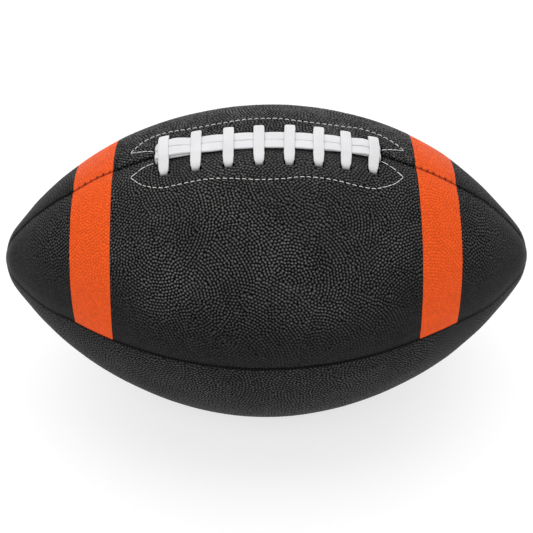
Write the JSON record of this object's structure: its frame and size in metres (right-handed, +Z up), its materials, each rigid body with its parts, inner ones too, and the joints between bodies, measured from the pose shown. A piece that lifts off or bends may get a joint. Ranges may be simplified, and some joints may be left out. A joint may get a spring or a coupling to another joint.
{
  "type": "american football",
  "caption": "Full-size laced leather ball, pointed at both ends, sewn from lined panels over an inflatable bladder with a needle valve.",
  "frame": {"origin": "centre of the ball", "axes": "+X along the long axis from one tip to the other, +Z up through the middle of the laces, -Y towards the pictured side"},
  "size_m": [0.282, 0.169, 0.1717],
  "materials": {
    "cover": "pebbled charcoal black grain, satin",
    "stripe": "orange coat over the same pebbled grain, satin",
    "lace": "white woven flat lace with a smooth coating",
    "white_thread": "white bonded polyester thread",
    "seam_thread": "black waxed thread",
    "lining": "unbleached woven cotton",
    "facing": "plain split leather",
    "bladder_rubber": "black butyl rubber, smooth",
    "valve_rubber": "black moulded rubber, satin"
  },
  "bodies": {
    "root": {"front_lace_panel": "cover", "rear_lace_panel": "cover", "front_belly_panel": "cover", "rear_belly_panel": "cover", "left_front_stripe": "stripe", "right_front_stripe": "stripe", "left_rear_stripe": "stripe", "right_rear_stripe": "stripe", "front_lace_lining": "lining", "rear_lace_lining": "lining", "front_belly_lining": "lining", "rear_belly_lining": "lining", "front_lace_facing": "facing", "rear_lace_facing": "facing", "lace_guard": "facing", "bladder": "bladder_rubber", "valve_boot": "valve_rubber", "valve_core": "valve_rubber", "valve_washer": "facing", "lace_crossbars": "lace", "lace_front_run": "lace", "lace_rear_run": "lace", "lace_seam_thread": "seam_thread", "front_seam_thread": "seam_thread", "rear_seam_thread": "seam_thread", "bottom_seam_thread": "seam_thread", "front_facing_stitches": "white_thread", "rear_facing_stitches": "white_thread"}
  },
  "joints": []
}
